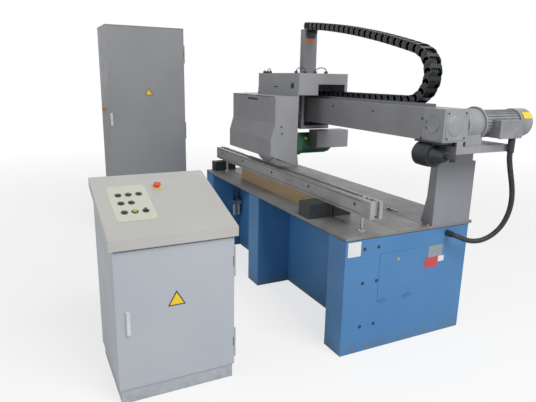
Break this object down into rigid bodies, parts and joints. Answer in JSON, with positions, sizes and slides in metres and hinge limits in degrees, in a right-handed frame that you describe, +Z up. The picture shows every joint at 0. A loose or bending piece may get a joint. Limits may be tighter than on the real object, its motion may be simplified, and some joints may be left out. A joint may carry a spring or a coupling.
{
  "type": "panel cut-off saw machine",
  "caption": "Panel cut-off machine with an overhead travelling saw on a gantry beam, pressure beam, blue base, operator console and electrical cabinet.",
  "frame": {"origin": "centre of the machine base's footprint on the floor", "axes": "+X along the cut towards the drive end, -Y towards the operator side with the pressure beam and the console, +Z up"},
  "size_m": [3.745, 2.647, 2.22],
  "materials": {
    "base_blue": "satin",
    "beam_grey": "satin",
    "light_grey": "satin",
    "cabinet_grey": "satin",
    "machine_green": "satin",
    "table_steel": "satin",
    "steel": "satin",
    "chrome": "polished",
    "aluminium": "satin",
    "black_plastic": "matte",
    "black_metal": "satin",
    "rubber": "matte",
    "board": "matte",
    "green_lens": "gloss",
    "red_plastic": "gloss",
    "orange_plastic": "gloss"
  },
  "bodies": {
    "base": {"base_cabinet": "base_blue", "base_pedestals": "base_blue", "table_plate": "table_steel", "support_board": "board", "end_block": "black_metal", "uprights": "beam_grey", "beam_brackets": "beam_grey", "gantry_beam": "beam_grey", "end_heads": "beam_grey", "motor_tray": "light_grey", "guide_rails": "steel", "drive_belt": "rubber", "gearbox": "light_grey", "drive_motor": "light_grey", "motor_hose": "rubber", "hose_glands": "rubber", "auxiliary_motor": "black_metal", "chain_lower": "black_plastic", "air_service_unit": "aluminium", "clamp_cylinders": "aluminium", "console_body": "light_grey", "cabinet_body": "cabinet_grey"},
    "carriage": {"carriage_box": "beam_grey", "carriage_frame": "beam_grey", "carriage_rear_plate": "beam_grey", "chain_mast": "beam_grey", "chain_upper": "black_plastic", "saw_hood": "beam_grey", "plunge_cylinder": "aluminium"},
    "drive_pulley": {"drive_pulley": "steel"},
    "idler_pulley": {"idler_pulley": "steel"},
    "chain_bend": {"chain_bend": "black_plastic"},
    "hood_cover": {"hood_cover": "beam_grey"},
    "saw_unit": {"saw_slide": "steel", "spindle_housing": "steel", "belt_case": "machine_green", "saw_motor": "machine_green", "saw_side_box": "light_grey"},
    "blade": {"saw_spindle": "steel", "saw_blade": "steel"},
    "clamp": {"clamp_beam": "beam_grey", "clamp_rods": "chrome"},
    "access_door": {"access_door": "base_blue"},
    "access_lock": {"access_lock": "steel"},
    "regulator_knob": {"regulator_knob": "black_plastic"},
    "console_door": {"console_door": "light_grey"},
    "console_handle": {"console_handle": "aluminium"},
    "console_lid": {"console_lid": "light_grey"},
    "selector_switch": {"selector_switch": "black_plastic"},
    "emergency_stop": {"emergency_stop": "red_plastic"},
    "cabinet_door": {"cabinet_door": "cabinet_grey"},
    "cabinet_handle": {"cabinet_handle": "aluminium"},
    "main_switch": {"main_switch": "orange_plastic"},
    "button_1": {"button_1": "black_plastic"},
    "button_2": {"button_2": "black_plastic"},
    "button_3": {"button_3": "black_plastic"},
    "button_4": {"button_4": "black_plastic"},
    "button_5": {"button_5": "black_plastic"},
    "button_6": {"button_6": "black_plastic"},
    "button_7": {"button_7": "green_lens"}
  },
  "joints": [
    {"name": "carriage_travel", "type": "slide", "parent": "base", "child": "carriage", "axis": [1, 0, 0], "range_m": [-0.45, 0.95], "deforming": ["chain_lower", "chain_upper"]},
    {"name": "drive_pulley_turn", "type": "hinge", "parent": "base", "child": "drive_pulley", "pos_m": [1.365, 0.085, 1.4825], "axis": [0, 1, 0], "continuous": true},
    {"name": "idler_pulley_turn", "type": "hinge", "parent": "base", "child": "idler_pulley", "pos_m": [-1.365, 0.085, 1.4825], "axis": [0, 1, 0], "continuous": true},
    {"name": "chain_bend_travel", "type": "slide", "parent": "base", "child": "chain_bend", "axis": [1, 0, 0], "range_m": [-0.225, 0.475]},
    {"name": "hood_cover_swing", "type": "hinge", "parent": "carriage", "child": "hood_cover", "pos_m": [-0.2875, -0.4435, 1.59], "axis": [-1, 0, 0], "range_deg": [0, 100]},
    {"name": "saw_plunge", "type": "slide", "parent": "carriage", "child": "saw_unit", "axis": [0, 0, 1], "range_m": [-0.235, 0]},
    {"name": "blade_spin", "type": "hinge", "parent": "saw_unit", "child": "blade", "pos_m": [-0.29, -0.3125, 1.3], "axis": [0, 1, 0], "continuous": true},
    {"name": "clamp_lift", "type": "slide", "parent": "base", "child": "clamp", "axis": [0, 0, 1], "range_m": [0, 0.022]},
    {"name": "access_door_swing", "type": "hinge", "parent": "base", "child": "access_door", "pos_m": [1.2548, -0.105, 0.3375], "axis": [0, 1, 0], "range_deg": [0, 100]},
    {"name": "access_lock_turn", "type": "hinge", "parent": "access_door", "child": "access_lock", "pos_m": [1.2525, -0.095, 0.61], "axis": [1, 0, 0], "range_deg": [0, 90]},
    {"name": "regulator_knob_turn", "type": "hinge", "parent": "base", "child": "regulator_knob", "pos_m": [-1.03, -0.249, 0.52], "axis": [0, 0, 1], "range_deg": [-540, 540]},
    {"name": "console_door_swing", "type": "hinge", "parent": "base", "child": "console_door", "pos_m": [1.161, -1.2085, 0.48], "axis": [0, 0, 1], "range_deg": [0, 110]},
    {"name": "console_handle_turn", "type": "hinge", "parent": "console_door", "child": "console_handle", "pos_m": [1.161, -1.814, 0.52], "axis": [1, 0, 0], "range_deg": [0, 90]},
    {"name": "console_lid_lift", "type": "hinge", "parent": "base", "child": "console_lid", "pos_m": [0.545, -1.5425, 1.092], "axis": [0, -1, 0], "range_deg": [0, 75]},
    {"name": "button_1_press", "type": "slide", "parent": "console_lid", "child": "button_1", "axis": [-0.3126, 0, -0.9499], "range_m": [0, 0.004], "stiffness_N_per_m": 500},
    {"name": "button_2_press", "type": "slide", "parent": "console_lid", "child": "button_2", "axis": [-0.3126, 0, -0.9499], "range_m": [0, 0.004], "stiffness_N_per_m": 500},
    {"name": "button_3_press", "type": "slide", "parent": "console_lid", "child": "button_3", "axis": [-0.3126, 0, -0.9499], "range_m": [0, 0.004], "stiffness_N_per_m": 500},
    {"name": "button_4_press", "type": "slide", "parent": "console_lid", "child": "button_4", "axis": [-0.3126, 0, -0.9499], "range_m": [0, 0.004], "stiffness_N_per_m": 500},
    {"name": "button_5_press", "type": "slide", "parent": "console_lid", "child": "button_5", "axis": [-0.3126, 0, -0.9499], "range_m": [0, 0.004], "stiffness_N_per_m": 500},
    {"name": "button_6_press", "type": "slide", "parent": "console_lid", "child": "button_6", "axis": [-0.3126, 0, -0.9499], "range_m": [0, 0.004], "stiffness_N_per_m": 500},
    {"name": "button_7_press", "type": "slide", "parent": "console_lid", "child": "button_7", "axis": [-0.3126, 0, -0.9499], "range_m": [0, 0.004], "stiffness_N_per_m": 500},
    {"name": "selector_turn", "type": "hinge", "parent": "console_lid", "child": "selector_switch", "pos_m": [0.94783, -1.648, 1.0245], "axis": [0.3126, 0, 0.9499], "range_deg": [-45, 45]},
    {"name": "emergency_stop_press", "type": "slide", "parent": "console_lid", "child": "emergency_stop", "axis": [-0.3126, 0, -0.9499], "range_m": [0, 0.006], "stiffness_N_per_m": 800},
    {"name": "cabinet_door_swing", "type": "hinge", "parent": "base", "child": "cabinet_door", "pos_m": [-1.74, -0.5825, 1.16], "axis": [0, 0, 1], "range_deg": [0, 90]},
    {"name": "cabinet_handle_turn", "type": "hinge", "parent": "cabinet_door", "child": "cabinet_handle", "pos_m": [-1.74, -1.367, 1.336], "axis": [1, 0, 0], "range_deg": [0, 90]},
    {"name": "main_switch_turn", "type": "hinge", "parent": "base", "child": "main_switch", "pos_m": [-2.033, -1.388, 1.377], "axis": [0, -1, 0], "range_deg": [0, 90]}
  ],
  "couplings": [
    {"joint": "drive_pulley_turn", "follows": "carriage_travel", "rad_per_m": -16.667},
    {"joint": "idler_pulley_turn", "follows": "carriage_travel", "rad_per_m": -16.667},
    {"joint": "chain_bend_travel", "follows": "carriage_travel", "ratio": 0.5}
  ]
}
